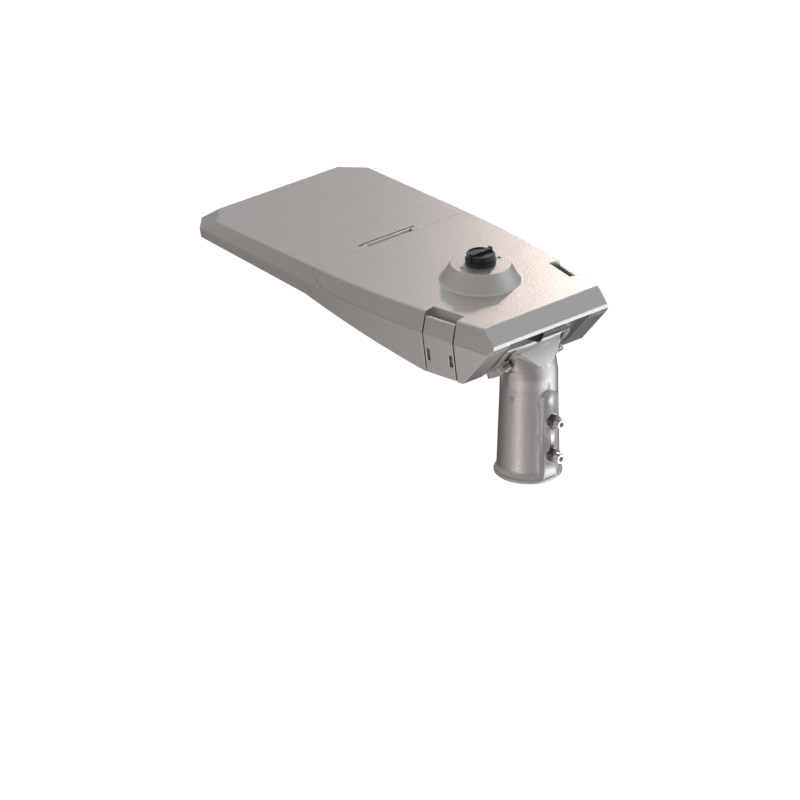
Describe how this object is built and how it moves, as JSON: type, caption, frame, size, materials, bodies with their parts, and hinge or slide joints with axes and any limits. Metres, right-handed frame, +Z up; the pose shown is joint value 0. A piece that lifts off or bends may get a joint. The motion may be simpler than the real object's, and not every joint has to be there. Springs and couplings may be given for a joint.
{
  "type": "street light head",
  "caption": "Flat cast street light head with hinged gear cover, side latches, glazed light window, capped control socket and a tilting pole-top adaptor.",
  "frame": {"origin": "centre of the pole socket's open mouth, at the lowest point of the adaptor", "axes": "+Z up the pole, +X from the pole towards the light end of the head, +Y to the side"},
  "size_m": [0.5493, 0.27, 0.2688],
  "materials": {
    "silver_coat": "fine-textured silver powder coat with a metallic sparkle",
    "fastener_steel": "bright stainless steel",
    "seal_rubber": "matt black silicone rubber",
    "clear_glass": "clear tempered glass",
    "lens_acrylic": "clear moulded acrylic",
    "board_white": "white solder mask on a metal-core board",
    "chip_phosphor": "yellow phosphor",
    "cap_black": "glossy black polycarbonate",
    "receptacle_black": "black moulded plastic",
    "contact_brass": "plain brass",
    "tray_sheet": "mill-finish sheet",
    "driver_case": "satin extruded case",
    "protector_case": "light grey moulding",
    "terminal_grey": "light grey polyamide",
    "gland_black": "black polyamide"
  },
  "bodies": {
    "adaptor": {"adaptor_casting": "silver_coat", "pole_screws": "fastener_steel", "pole_lock_nuts": "fastener_steel"},
    "housing": {"housing": "silver_coat", "tilt_bolts": "fastener_steel", "tilt_washers": "fastener_steel", "lid_gasket": "seal_rubber", "hinge_pin": "fastener_steel", "latch_pins": "fastener_steel", "glass_frame": "silver_coat", "frame_screws": "fastener_steel", "frame_seal": "seal_rubber", "glass": "clear_glass", "glass_seal": "seal_rubber", "glass_clips": "fastener_steel", "gear_tray": "tray_sheet", "tray_screws": "fastener_steel", "driver": "driver_case", "driver_screws": "fastener_steel", "surge_protector": "protector_case", "terminal_block": "terminal_grey", "cable_gland": "gland_black", "light_board_left": "board_white", "light_board_right": "board_white", "light_chips_left": "chip_phosphor", "light_chips_right": "chip_phosphor", "lens_plate_left": "lens_acrylic", "lens_plate_right": "lens_acrylic", "lens_screws_left": "fastener_steel", "lens_screws_right": "fastener_steel"},
    "lid": {"lid": "silver_coat", "receptacle": "receptacle_black", "receptacle_contacts": "contact_brass", "receptacle_seal": "seal_rubber", "receptacle_nut": "receptacle_black", "pedestal_screws": "fastener_steel"},
    "latch_left": {"latch_left": "silver_coat"},
    "latch_right": {"latch_right": "silver_coat"},
    "cap": {"receptacle_cap": "cap_black"}
  },
  "joints": [
    {"name": "head_tilt", "type": "hinge", "parent": "adaptor", "child": "housing", "pos_m": [0.0825, 0, 0.2314], "axis": [0, 1, 0], "range_deg": [-10, 10]},
    {"name": "lid_hinge", "type": "hinge", "parent": "housing", "child": "lid", "pos_m": [0.2635, 0, 0.226], "axis": [0, 1, 0], "range_deg": [0, 95]},
    {"name": "latch_left_hinge", "type": "hinge", "parent": "housing", "child": "latch_left", "pos_m": [0.06553, 0.10765, 0.1535], "axis": [-0.9842, -0.1771, 0], "range_deg": [0, 90]},
    {"name": "latch_right_hinge", "type": "hinge", "parent": "housing", "child": "latch_right", "pos_m": [0.06553, -0.10765, 0.1535], "axis": [0.9842, -0.1771, 0], "range_deg": [0, 90]},
    {"name": "cap_twist", "type": "hinge", "parent": "lid", "child": "cap", "pos_m": [0.0894, 0, 0.2516], "axis": [0, 0, 1], "range_deg": [0, 30]}
  ]
}
